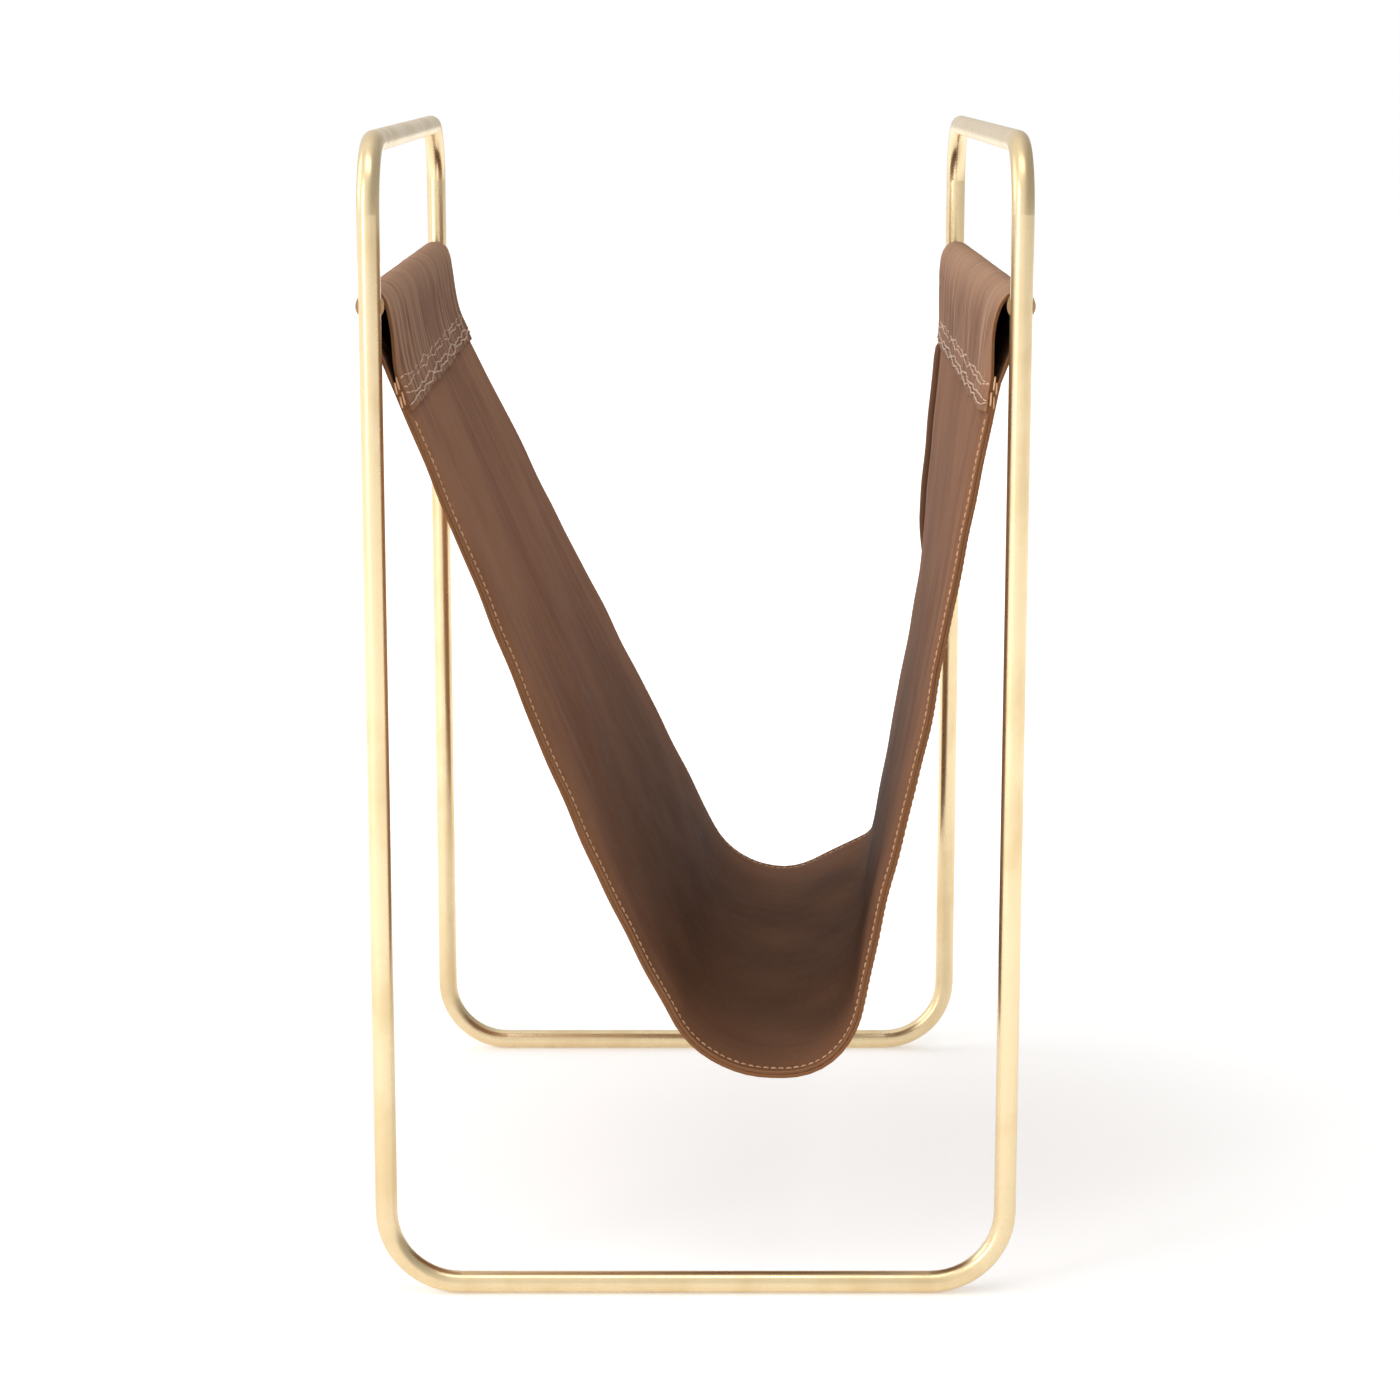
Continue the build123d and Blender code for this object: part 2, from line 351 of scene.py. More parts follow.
# %% Brass and steel
def brushed_metal(name, light, warm, roughness, grain):
    """A satin metal; light and warm are its two tones, grain is the depth of its lines in metres."""
    material, tree, shader = new_material(name)
    where = tree.nodes.new("ShaderNodeTexCoord")
    place = where.outputs["Object"]
    lines = placed_group(tree, brushed_lines, Place=place)
    scratches = placed_group(tree, brushed_lines, Place=place, Lines_per_metre=700.0,
                             Length_per_metre=9.0)
    scratch = fade(tree, scratches.outputs["Lines"], 0.66, 0.74)
    handled = fade(tree, lines.outputs["Patches"], 0.42, 0.7)
    tone = blend(tree, handled, light, warm)
    streak = fade(tree, lines.outputs["Lines"], 0.3, 0.7, 0.965, 1.0)
    grey = tree.nodes.new("ShaderNodeCombineColor")
    for channel in range(3):
        tree.links.new(streak, grey.inputs[channel])
    color = blend(tree, 1.0, tone, grey.outputs[0], mode="MULTIPLY")
    tree.links.new(color, shader.inputs["Base Color"])
    duller = maths(tree, "MULTIPLY_ADD", handled, 0.07)
    duller.node.inputs[2].default_value = roughness
    rough = maths(tree, "MULTIPLY_ADD", lines.outputs["Lines"], 0.06)
    tree.links.new(duller, rough.node.inputs[2])
    tree.links.new(rough, shader.inputs["Roughness"])
    shader.inputs["Metallic"].default_value = 1.0
    height = maths(tree, "SUBTRACT", lines.outputs["Lines"], maths(tree, "MULTIPLY", scratch, 0.5))
    bump(tree, shader, height, grain)
    return material


brass = brushed_metal("satin_brass", (0.83, 0.668, 0.415, 1.0), (0.76, 0.585, 0.335, 1.0), 0.24, 6e-6)
braze = brushed_metal("heated_brass", (0.40, 0.27, 0.15, 1.0), (0.30, 0.19, 0.10, 1.0), 0.42, 8e-6)
steel = brushed_metal("drawn_steel", (0.56, 0.56, 0.57, 1.0), (0.46, 0.45, 0.44, 1.0), 0.34, 8e-6)


def refinish(name, material):
    """Gives a part of the model a new material; its shape stays as it is."""
    part = nodes[name]
    if not part.material_slots:
        part.data.materials.append(material)
    for place in part.material_slots:
        place.material = material


brass_parts = ("frame_left_half", "frame_right_half", "left_sling_rail", "right_sling_rail")
for name in brass_parts:
    refinish(name, brass)
refinish("rail_fillets", braze)
for name in ("front_joint_spigot", "rear_joint_spigot"):
    refinish(name, steel)
print("brass on", len(brass_parts), "parts, heated brass on the fillets, bare steel on 2")

# %% [markdown]
# ## How the sling hangs
#
# The sling is one long leather strip with a second strip as its lining. Seen from the front, a line
# between the two layers comes down from the left rail and bends a little, turns around two knees at
# the bottom, bends a little again and goes up to the right rail. There it runs over the rail, down its
# inner side, and ends as a flap that is sewn over the lining.
#
# The front of this sling has two wide knees, and the back lies more to the right and has a tighter
# second knee, so the leather is gently twisted. Two lists of corners give the line at the front and
# at the back, and every column of points in between mixes them. The corners are rounded, as leather
# never folds sharply.
# Lengths in this part are in millimetres, because leather is easier to think about that way.

# %% Where the rails and the sewn lines are
left_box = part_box("left_sling_rail")
right_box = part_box("right_sling_rail")
leather_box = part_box("sling_leather")
rail_x = 500.0 * (right_box[0].x + right_box[1].x)
rail_z = 500.0 * (right_box[0].z + right_box[1].z)
half_width = 1000.0 * leather_box[1].y
lowest = 1000.0 * leather_box[0].z
layer = 2.0
loop_radius = 4.62
sewn_inset = 6.45
sewn_drop = 29.0
seam_inset = 4.0
sewn_x = rail_x - sewn_inset
sewn_z = rail_z - sewn_drop
print(f"rails at x {rail_x:.2f}, z {rail_z:.2f} mm; sling {2 * half_width:.1f} mm from front to back")

# %% The two hanging lines
def hanging_line(front_to_back):
    """Corners and corner radii of the sling's outer face at a place from 0 (front) to 1 (back)."""
    front = [(-sewn_x, sewn_z), (-35.0, lowest + 71.3), (3.7, lowest - 0.5), (59.3, lowest - 0.5),
             (91.8, lowest + 152.1), (sewn_x, sewn_z)]
    back = [(-sewn_x, sewn_z), (-15.5, lowest + 71.0), (24.0, lowest - 9.0), (88.0, lowest + 22.5),
            (109.5, lowest + 152.0), (sewn_x + 4.5, sewn_z)]
    front_radii = (120.0, 45.0, 33.0, 150.0)
    back_radii = (120.0, 40.0, 13.0, 150.0)
    t = front_to_back
    corners = [np.array(a) * (1 - t) + np.array(b) * t for a, b in zip(front, back)]
    radii = [a * (1 - t) + b * t for a, b in zip(front_radii, back_radii)]
    return corners, radii


def unit(vector):
    """The vector with a length of 1."""
    return vector / np.hypot(*vector)


def inward(direction):
    """The unit vector a quarter turn to the left, which is the sling's inside."""
    return np.array([-direction[1], direction[0]])


def parallel(corners, distance):
    """The same open line moved to its left by a distance."""
    ways = [unit(b - a) for a, b in zip(corners, corners[1:])]
    moved = [corners[0] + inward(ways[0]) * distance]
    for corner, before, after in zip(corners[1:], ways, ways[1:]):
        both = inward(before) + inward(after)
        moved.append(corner + both * distance / (1 + inward(before) @ inward(after)))
    moved.append(corners[-1] + inward(ways[-1]) * distance)
    return moved


def rounded(corners, radii, steps=24):
    """Points along an open line whose inner corners are rounded to the given radii."""
    points = [corners[0]]
    for before, corner, after, radius in zip(corners, corners[1:], corners[2:], radii):
        come, leave = unit(corner - before), unit(after - corner)
        turn = math.atan2(come[0] * leave[1] - come[1] * leave[0], come @ leave)
        reach = radius * math.tan(abs(turn) / 2)
        side = 1.0 if turn > 0 else -1.0
        centre = corner - come * reach + inward(come) * side * radius
        start = corner - come * reach - centre
        for angle in np.linspace(0.0, turn, steps):
            cos, sin = math.cos(angle), math.sin(angle)
            points.append(centre + np.array([start[0] * cos - start[1] * sin,
                                             start[0] * sin + start[1] * cos]))
    points.append(corners[-1])
    return points


# %% [markdown]
# Over each rail the line is a curve of its own. It leaves the sewn corner, touches the round of the
# rail's loop on the outer side, goes over the top, and comes down on the inner side along a Bezier
# curve: four points, where the two in the middle pull the line but don't touch it. The left flap
# lies close to its rail. The right one stands off it at the front and comes closer towards the back,
# because the load has pulled the sling over.

# %% The line over a rail
def bezier(points, steps):
    """Points along a curve with two end points and two that pull it."""
    a, b, c, d = points
    t = np.linspace(0.0, 1.0, steps)[:, None]
    return a * (1 - t) ** 3 + 3 * b * t * (1 - t) ** 2 + 3 * c * t ** 2 * (1 - t) + d * t ** 3


def over_rail(side, sewn, down, flap, front_to_back):
    """The flesh side's line from the sewn corner, over the rail, to the end of the flap.

    side is -1 or 1, sewn the corner on this line, down the panel's way and flap its length.
    """
    rail = np.array([side * rail_x, rail_z])
    reach = rail - sewn
    swing = math.atan2(reach[1], reach[0]) - side * math.asin(loop_radius / np.hypot(*reach))
    up = np.array([math.cos(swing), math.sin(swing)])
    first = swing - side * math.pi / 2
    loose = 1 - front_to_back if side > 0 else 0.0
    past = math.radians(48.0 - 24.0 * loose)
    last = math.pi / 2 + side * past
    arc = [rail + loop_radius * np.array([math.cos(a), math.sin(a)])
           for a in np.linspace(first, last, 30)]
    leaving = side * np.array([-math.sin(last), math.cos(last)])
    inner = inward(down) if side < 0 else -inward(down)
    start = sewn + inner * layer
    pulls = (5.0 + 1.5 * loose, 11.0 + 7.0 * loose)
    lean = unit(-down + np.array([-0.09 * side, 0.0]))
    curve = bezier([arc[-1], arc[-1] + leaving * pulls[0], start + lean * pulls[1], start], 30)
    tail = [start + down * d for d in np.linspace(0.0, flap, 12)[1:]]
    marks = [0, len(arc), len(arc) + len(curve) - 1, len(arc) + len(curve) + len(tail) - 1]
    return [sewn] + arc + list(curve[1:]) + tail, marks


# %% [markdown]
# A column is one line from flap end to flap end. It is laid out with points half a millimetre apart,
# smoothed a little, and then walked in steps: short ones over the rails, where it bends tightly, and
# longer ones down the panels. Every column has the same number of steps, so the columns
# join up into a regular net.

# %% One column of the net
flap_end_steps = [0.0, 0.16, 0.42, 0.8, 1.4]
flap_end_zone = 2.4
near_seam = 26.0
body_steps = 128


def smooth_line(points, step=0.5, spread=1.25):
    """The line in even steps, smoothed over a little more than a millimetre."""
    points = np.array(points)
    lengths = np.hypot(*np.diff(points, axis=0).T)
    along = np.concatenate([[0.0], np.cumsum(lengths)])
    count = int(along[-1] / step)
    even = np.linspace(0.0, along[-1], count)
    line = np.stack([np.interp(even, along, points[:, k]) for k in (0, 1)], axis=1)
    kernel = np.exp(-0.5 * (np.arange(-8, 9) * step / spread) ** 2)
    kernel /= kernel.sum()
    before = 2 * line[0] - line[8:0:-1]
    after = 2 * line[-1] - line[-2:-10:-1]
    padded = np.concatenate([before, line, after])
    smooth = np.stack([np.convolve(padded[:, k], kernel, mode="valid") for k in (0, 1)], axis=1)
    return even, smooth, along


def steps_between(low, high, count):
    """Evenly spaced places from low up to, but not including, high."""
    return list(np.linspace(low, high, count, endpoint=False))


def column(front_to_back, left_flap, right_flap):
    """Places, insides and walked lengths along one column of the outer leather's flesh side."""
    corners, radii = hanging_line(front_to_back)
    between = parallel(corners, layer)
    left_down = unit(corners[1] - corners[0])
    right_down = unit(corners[-2] - corners[-1])
    left, left_marks = over_rail(-1, between[0], left_down, left_flap, front_to_back)
    right, right_marks = over_rail(1, between[-1], right_down, right_flap, front_to_back)
    body = rounded(between, [radii[0], radii[1] - layer, radii[2] - layer, radii[3]])
    points = left[:0:-1] + body + right[1:]
    even, line, along = smooth_line(points)
    last = len(left) - 1
    left_at = [along[last - m] for m in left_marks[::-1]]
    right_at = [along[last + len(body) - 1 + m] for m in right_marks]
    places = [left_at[0] + d for d in flap_end_steps]
    places += steps_between(left_at[0] + flap_end_zone, left_at[1], 6)
    places += steps_between(left_at[1], left_at[2], 14)
    places += steps_between(left_at[2], left_at[3] - near_seam, 15)
    places += steps_between(left_at[3] - near_seam, left_at[3], 9)
    start = len(places)
    places += steps_between(left_at[3], right_at[0], body_steps)
    end = len(places)
    places += steps_between(right_at[0], right_at[0] + near_seam, 9)
    places += steps_between(right_at[0] + near_seam, right_at[1], 15)
    places += steps_between(right_at[1], right_at[2], 14)
    places += steps_between(right_at[2], right_at[3] - flap_end_zone, 6)
    places += [right_at[3] - d for d in flap_end_steps[::-1]]
    places = np.array(places)
    xz = np.stack([np.interp(places, even, line[:, k]) for k in (0, 1)], axis=1)
    slopes = np.gradient(line, axis=0)
    way = np.stack([np.interp(places, even, slopes[:, k]) for k in (0, 1)], axis=1)
    way /= np.hypot(*way.T)[:, None]
    inside = np.stack([-way[:, 1], way[:, 0]], axis=1)
    return xz, inside, places - left_at[3], start, end


# %% [markdown]
# Leather isn't a machine part. It sways in and out by a millimetre or two, its cut edges wander, and
# a flap trimmed by hand has no perfectly straight end. All of that comes from a few sine waves added
# together, with lengths that don't divide into each other, so that nothing repeats.

# %% Small waves in the leather
def wander(value, lengths, seed):
    """A smooth wandering between about -1 and 1, made of sine waves of the given lengths."""
    value = np.asarray(value, dtype=float)
    total = np.zeros_like(value)
    for number, length in enumerate(lengths):
        phase = 1.7 * seed + 2.3 * number
        total = total + np.sin(2 * math.pi * value / length + phase) / (1 + 0.5 * number)
    return total / sum(1 / (1 + 0.5 * number) for number in range(len(lengths)))


def smooth_step(value, low, high):
    """0 up to low, 1 from high, and a smooth rise between them; low may be the larger one."""
    t = np.clip((np.asarray(value, dtype=float) - low) / (high - low), 0.0, 1.0)
    return t * t * (3 - 2 * t)


def sway(walked, y):
    """How far both layers stand in from their plain hang, at a walked length and a depth."""
    ends = smooth_step(walked, 8.0, 60.0) * smooth_step(walked, body_length - 8.0, body_length - 60.0)
    broad = 0.8 * wander(walked + 0.35 * y, (171.0, 97.0), 1) * wander(y, (390.0, 231.0), 2)
    edges = smooth_step(np.abs(y), 118.0, 149.0)
    rippled = 0.42 * edges * wander(walked + 9.0 * np.sign(y), (47.0, 71.0, 29.0), 3)
    crease = smooth_step(walked, body_length - 330.0, body_length - 240.0)
    line = np.exp(-0.5 * ((y + 96.0 + 0.02 * walked) / 5.0) ** 2)
    belly = smooth_step(half_width - np.abs(y), 10.0, 70.0)
    belly = 1.3 * belly * wander(walked + 0.4 * y, (149.0, 83.0), 6) * wander(y, (197.0, 113.0), 7)
    return ends * (broad + rippled + belly + 0.45 * crease * line)


def edge_wander(walked, side):
    """How far a long cut edge wanders along Y."""
    return 0.22 * wander(walked, (83.0, 37.0, 19.0), 5 + side)


# %% The net of the sling
near_edge = [0.0, 0.14, 0.4, 0.8, 1.4, 2.2, 3.1, 3.6, 4.0, 4.4, 5.0, 6.2]
across = near_edge + list(np.linspace(7.6, 2 * half_width - 7.6, 182))
across += [2 * half_width - d for d in near_edge[::-1]]
across = np.array(across) - half_width


def flap_length(side, y):
    """How far a flap reaches below the sewn corner; it was trimmed by hand, so it wanders."""
    return 12.6 + 0.9 * wander(y, (61.0, 143.0, 27.0), 8 + side)


net = [column((y + half_width) / (2 * half_width), float(flap_length(-1, y)),
              float(flap_length(1, y))) for y in across]
net_xz = np.array([c[0] for c in net]).transpose(1, 0, 2)
net_in = np.array([c[1] for c in net]).transpose(1, 0, 2)
net_walk = np.array([c[2] for c in net]).T
body_start, body_end = net[0][3], net[0][4]
body_length = float(net_walk[body_end].mean())
net_y = np.broadcast_to(across, net_walk.shape)
print(f"net of {net_walk.shape[0]} steps by {net_walk.shape[1]} columns")
print(f"front line {net_walk[body_end, 0]:.1f} mm and back line {net_walk[body_end, -1]:.1f} mm long")

# %% [markdown]
# ## A sheet of leather with real edges
#
# A sheet of leather is two faces and a cut edge all round. The helper below takes the middle of a
# layer as a net of points and puts one face on each side of it. Towards the long edges and the flap
# ends each layer is pared, which means shaved thinner, and over the last half millimetre the thickness
# falls away, so that the edge is softly rounded like a trimmed and rubbed one. The helper also paints
# a few numbers on the points: where the point lies on the hide, how near the cut edge it is, how much
# it is bent over a rail, how rubbed it is, and how much painted shade darkens it. The materials read
# them.

# %% Building a sheet
worked_layer = 1.97


def roundness(distance, reach=0.45, least=0.72):
    """The share of the full thickness at a distance from the cut edge."""
    t = np.clip(distance / reach, 0.0, 1.0)
    return least + (1 - least) * np.sqrt(np.clip(1 - (1 - t) ** 2, 0.0, 1.0))


def pared(y):
    """How much thinner each layer has been pared towards its long cut edges, in mm."""
    return 0.68 * smooth_step(half_width - np.abs(y), 12.0, 2.5)


def seam_dent(to_edge):
    """How deep a seam pulls the leather in, from 0 to 1, at a distance from its long edge."""
    return np.exp(-0.5 * ((to_edge - seam_inset) / 0.42) ** 2)


def near_cut(distance):
    """How much of the raw cut shows, from 0 to 1, at a distance from the cut edge."""
    return np.clip(1.25 - distance / 0.62, 0.0, 1.0)


def sheet_of_leather(name, middle, inside, thickness, marks):
    """A closed sheet from the net of its middle, its unit insides and its thickness, in mm.

    marks holds numbers for each net point, saved under their names, such as hide, cut and bent.
    """
    rows, columns = middle.shape[:2]
    faces_up = middle + inside * (thickness / 2)[..., None]
    faces_down = middle - inside * (thickness / 2)[..., None]
    points = np.concatenate([faces_up.reshape(-1, 3), faces_down.reshape(-1, 3)]) * 0.001
    number = np.arange(rows * columns).reshape(rows, columns)
    a, b = number[:-1, :-1].ravel(), number[:-1, 1:].ravel()
    c, d = number[1:, 1:].ravel(), number[1:, :-1].ravel()
    other = rows * columns
    upper = np.stack([a, d, c, b], axis=1)
    lower = np.stack([a, b, c, d], axis=1) + other
    rim = np.concatenate([number[0, :], number[1:, -1], number[-1, -2::-1], number[-2:0:-1, 0]])
    ahead = np.roll(rim, -1)
    wall = np.stack([rim, ahead, ahead + other, rim + other], axis=1)
    faces = np.concatenate([upper, lower, wall])
    mesh = bpy.data.meshes.new(name)
    mesh.from_pydata(points.tolist(), [], faces.tolist())
    for label, values in marks.items():
        kind = "FLOAT_VECTOR" if values.ndim == 3 else "FLOAT"
        attribute = mesh.attributes.new(label, kind, "POINT")
        both = np.concatenate([values.reshape(other, -1)] * 2).astype(np.float32)
        if kind == "FLOAT_VECTOR":
            both[other:, 2] = 1.0
        attribute.data.foreach_set("vector" if kind == "FLOAT_VECTOR" else "value", both.ravel())
    mesh.polygons.foreach_set("use_smooth", [True] * len(mesh.polygons))
    mesh.update()
    sheet = bpy.data.objects.new(name, mesh)
    bpy.context.scene.collection.objects.link(sheet)
    print(f"{name}: {len(points)} points, {2 * len(faces)} triangles")
    return sheet


def spatial(xz, y):
    """Points (x, z) of the net and their y as places in space."""
    return np.stack([xz[..., 0], y, xz[..., 1]], axis=-1)


# %% Thickness and marks of the outer leather
to_side = half_width - np.abs(net_y)
end_a = net_walk - net_walk[0]
end_b = net_walk[-1] - net_walk
to_cut = np.minimum(to_side, np.minimum(end_a, end_b))
on_body = (net_walk > 0) & (net_walk < body_length)
outside = np.maximum(-net_walk, net_walk - body_length)
below_flap = smooth_step(net_walk, 13.0, 17.0) * smooth_step(body_length - net_walk, 13.0, 17.0)
end_pared = 0.55 * smooth_step(np.minimum(end_a, end_b), 7.0, 1.5)
full = worked_layer - np.minimum(pared(net_y) + end_pared, 0.9)
thick = full * roundness(to_cut) - 0.2 * seam_dent(to_side) * below_flap


# %% [markdown]
# The loops over the rails are the part that has moved most: fine wrinkles run from front to back
# along the rail's length. They fade out over the top of the rail, where the leather is pulled tight
# and rubbed smooth, and on the flap's sewn part.
#
# At the back edge of the right panel the outer leather has come away from the lining and curls in
# past it, which leaves a narrow dark gap. Further down it curls once more, only a little.

# %% Wrinkles on the loops and the curl at the back edge
def loop_wrinkles(walked_out, y, side):
    """How far the loop's leather stands out in its wrinkles; walked_out is from the sewn corner."""
    strong = 1.15 if side < 0 else 0.95
    where = smooth_step(walked_out, 30.0, 52.0) * smooth_step(walked_out, 86.0, 66.0)
    drift = 1.6 * wander(walked_out, (41.0, 67.0), 11 + side)
    ridges = wander(y + drift, (23.0, 13.7, 9.1), 13 + side) + 0.5 * wander(y, (37.0, 61.0), 14)
    patchy = 0.6 + 0.4 * wander(y, (71.0, 113.0), 15 + side)
    return strong * where * patchy * (0.5 + 0.5 * ridges)


def opened(below):
    """Where the two layers stand apart at the back edge; below is from the right sewn corner."""
    return smooth_step(below, 4.0, 16.0) * smooth_step(below, 128.0, 92.0)


left_wrinkles = loop_wrinkles(-net_walk, net_y, -1) * (net_walk < 0)
right_wrinkles = loop_wrinkles(net_walk - body_length, net_y, 1) * (net_walk > body_length)
below_seam = body_length - net_walk
curl_zone = opened(below_seam)
low_zone = smooth_step(below_seam, 226.0, 246.0) * smooth_step(below_seam, 330.0, 300.0)
at_back_edge = smooth_step(net_y, half_width - 3.4, half_width - 0.9)
curl = (4.9 * curl_zone + 1.6 * low_zone) * at_back_edge

on_loop = smooth_step(outside, 0.0, 12.0)
on_flap = smooth_step(np.minimum(end_a, end_b), 32.0, 13.0)
push = np.where(on_body, sway(net_walk, net_y), 0.0) + curl - layer / 2
push = push - left_wrinkles - right_wrinkles
push = push + pared(net_y) * (on_loop + 2 * on_flap - 0.5) + 0.5 * end_pared
outer_xz = net_xz + net_in * push[..., None]
wandering = np.where(net_y < 0, edge_wander(net_walk, 0), edge_wander(net_walk, 1))
outer_y = net_y + np.sign(net_y) * np.exp(-to_side / 3.0) * wandering

# %% The outer leather
crown = np.exp(-0.5 * ((outside - 42.0) / 6.5) ** 2)
cut = near_cut(to_cut)
bent = smooth_step(outside, 2.0, 12.0)
hide = np.stack([net_y, net_walk, np.zeros_like(net_y)], axis=-1) * 0.001


def painted_low_shade(xz, walked, y):
    """How much painted shade darkens the leather, from 0 to 1: low down where the sling turns at the
    bottom, most away from the edges.
    """
    low = smooth_step(xz[..., 1], lowest + 190.0, lowest + 6.0)
    patchy = 0.86 + 0.14 * wander(walked, (73.0, 41.0), 41) * wander(y, (67.0, 103.0), 42)
    return low * patchy * (0.55 + 0.45 * smooth_step(half_width - np.abs(y), 2.0, 60.0))


# Painted shade: the dark mark darkens the outer leather low in the sling and along the narrow gap where
# its back edge curls away from the lining.
gap_shade = curl_zone * np.exp(-0.5 * ((net_y - half_width + 2.6) / 0.9) ** 2)
dark = np.clip(0.8 * painted_low_shade(net_xz, net_walk, net_y) * on_body + gap_shade, 0.0, 1.0)
outer = sheet_of_leather(
    "outer_leather", spatial(outer_xz, outer_y), spatial(net_in, np.zeros_like(net_y)), thick,
    {"hide": hide, "cut": cut, "bent": bent, "rubbed": crown, "dark": dark},
)

# %% [markdown]
# The lining is the same net again, one layer further in. It starts and stops a millimetre below the
# sewn corners, under the flaps, and its back edge is held back where the outer leather curls.

# %% The lining
def between_steps(values, walked, places):
    """Values of the net read off at the same walked lengths in every column."""
    columns = [np.interp(places, walked[:, k], values[:, k]) for k in range(walked.shape[1])]
    return np.array(columns).T


lining_ends = [1.0, 1.16, 1.42, 1.8, 2.4, 4.0]
lining_steps = np.array(lining_ends + list(np.linspace(6.0, body_length - 6.0, 124))
                        + [body_length - d for d in lining_ends[::-1]])
take = slice(body_start - 1, body_end + 2)
walk_body = net_walk[take]
lining_x = between_steps(net_xz[take, :, 0], walk_body, lining_steps)
lining_z = between_steps(net_xz[take, :, 1], walk_body, lining_steps)
inside_x = between_steps(net_in[take, :, 0], walk_body, lining_steps)
inside_z = between_steps(net_in[take, :, 1], walk_body, lining_steps)
lining_walk = np.broadcast_to(lining_steps[:, None], lining_x.shape)
lining_y = np.broadcast_to(across, lining_x.shape)
held_back = 2.6 * opened(body_length - lining_walk)
lining_in = np.stack([inside_x, inside_z], axis=-1)
lining_in = lining_in / np.linalg.norm(lining_in, axis=-1, keepdims=True)
lining_push = sway(lining_walk, lining_y) + layer / 2 - 1.5 * pared(lining_y)
lining_xz = np.stack([lining_x, lining_z], axis=-1) + lining_in * lining_push[..., None]
lining_side = half_width - np.abs(lining_y)
shrink = np.where(lining_y > 0, held_back + 0.25, 0.25) * np.exp(-lining_side / 14.0)
lining_real_y = lining_y - np.sign(lining_y) * shrink
lining_cut = np.minimum(lining_side, np.minimum(lining_walk - 1.0, body_length - 1.0 - lining_walk))
lining_thick = (worked_layer - pared(lining_y)) * roundness(lining_cut)
lining_thick = lining_thick - 0.24 * seam_dent(lining_side)
lining_hide = np.stack([lining_y, lining_walk, np.zeros_like(lining_y)], axis=-1) * 0.001
# The lining gets the same painted shade low in the sling.
lining = sheet_of_leather(
    "lining_leather", spatial(lining_xz, lining_real_y),
    spatial(lining_in, np.zeros_like(lining_y)), lining_thick,
    {"hide": lining_hide, "cut": near_cut(lining_cut),
     "bent": np.zeros_like(lining_y), "rubbed": np.zeros_like(lining_y),
     "dark": painted_low_shade(lining_xz, lining_walk, lining_y)},
)

# %% [markdown]
# ## Stitches
#
# A seam isn't a line: it is a row of short loops of thread, each pulled down into the leather at both
# ends. One stitch here is a little tube that rises and sinks again, a bit thinner where it goes into
# its hole. Both long edges have one seam through both layers, and each flap is held by four rows,
# sewn by hand on a curve, so they wobble and sometimes cross. A few long stitches also run down the
# cut edge beside each flap and hold its corner.
#
# The stitches are placed on the net itself, so they follow every sway of the leather.

# %% Places on the net
def on_net(walked, y, push):
    """Places, ways along the leather and insides at walked lengths and depths, pushed in by push."""
    places, insides = [], []
    for w, depth, p in zip(walked, y, push):
        right = int(np.clip(np.searchsorted(across, depth), 1, len(across) - 1))
        share = (depth - across[right - 1]) / (across[right] - across[right - 1])
        values = []
        for k in (right - 1, right):
            values.append([np.interp(w, net_walk[:, k], source[:, k, axis])
                           for source in (net_xz, net_in) for axis in (0, 1)])
        x, z, nx, nz = np.array(values[0]) * (1 - share) + np.array(values[1]) * share
        inner = unit(np.array([nx, nz]))
        places.append([x + inner[0] * p, depth, z + inner[1] * p])
        insides.append([inner[0], 0.0, inner[1]])
    return np.array(places), np.array(insides)


def stitches(name, rows, thread):
    """One object of many stitches; each row gives start and end places and the way out, in mm."""
    tree = bmesh.new()
    strand = tree.verts.layers.float.new("strand")
    run = tree.verts.layers.float.new("run")
    count = 0
    for starts, ends, outs in rows:
        for start, end, out in zip(starts, ends, outs):
            way = end - start
            length = np.linalg.norm(way)
            way = way / length
            side = np.cross(way, out)
            rings = []
            for t in (0.0, 0.1, 0.3, 0.5, 0.7, 0.9, 1.0):
                rise = thread * (1.05 * math.sin(math.pi * t) ** 0.6 - 0.5)
                round_size = thread * (0.72 + 0.28 * math.sin(math.pi * t) ** 0.5)
                centre = start + way * length * t + out * rise
                ring = []
                for a in np.linspace(0.0, 2 * math.pi, 6, endpoint=False):
                    spot = centre + (side * math.cos(a) + out * math.sin(a)) * round_size
                    vert = tree.verts.new(Vector(spot * 0.001))
                    vert[strand] = (count * 0.618034) % 1.0
                    vert[run] = (t * length + a * thread * 0.6) * 0.001
                    ring.append(vert)
                rings.append(ring)
            for low, high in zip(rings, rings[1:]):
                for k in range(6):
                    tree.faces.new((low[k], low[(k + 1) % 6], high[(k + 1) % 6], high[k]))
            tree.faces.new(rings[0][::-1])
            tree.faces.new(rings[-1])
            count += 1
    bmesh.ops.recalc_face_normals(tree, faces=tree.faces)
    mesh = bpy.data.meshes.new(name)
    tree.to_mesh(mesh)
    tree.free()
    mesh.polygons.foreach_set("use_smooth", [True] * len(mesh.polygons))
    made = bpy.data.objects.new(name, mesh)
    bpy.context.scene.collection.objects.link(made)
    print(f"{name}: {count} stitches, {len(mesh.polygons)} faces")
    return made


# %% Seams along the two long edges
edge_thread_radius = 0.4
flap_thread_radius = 0.31


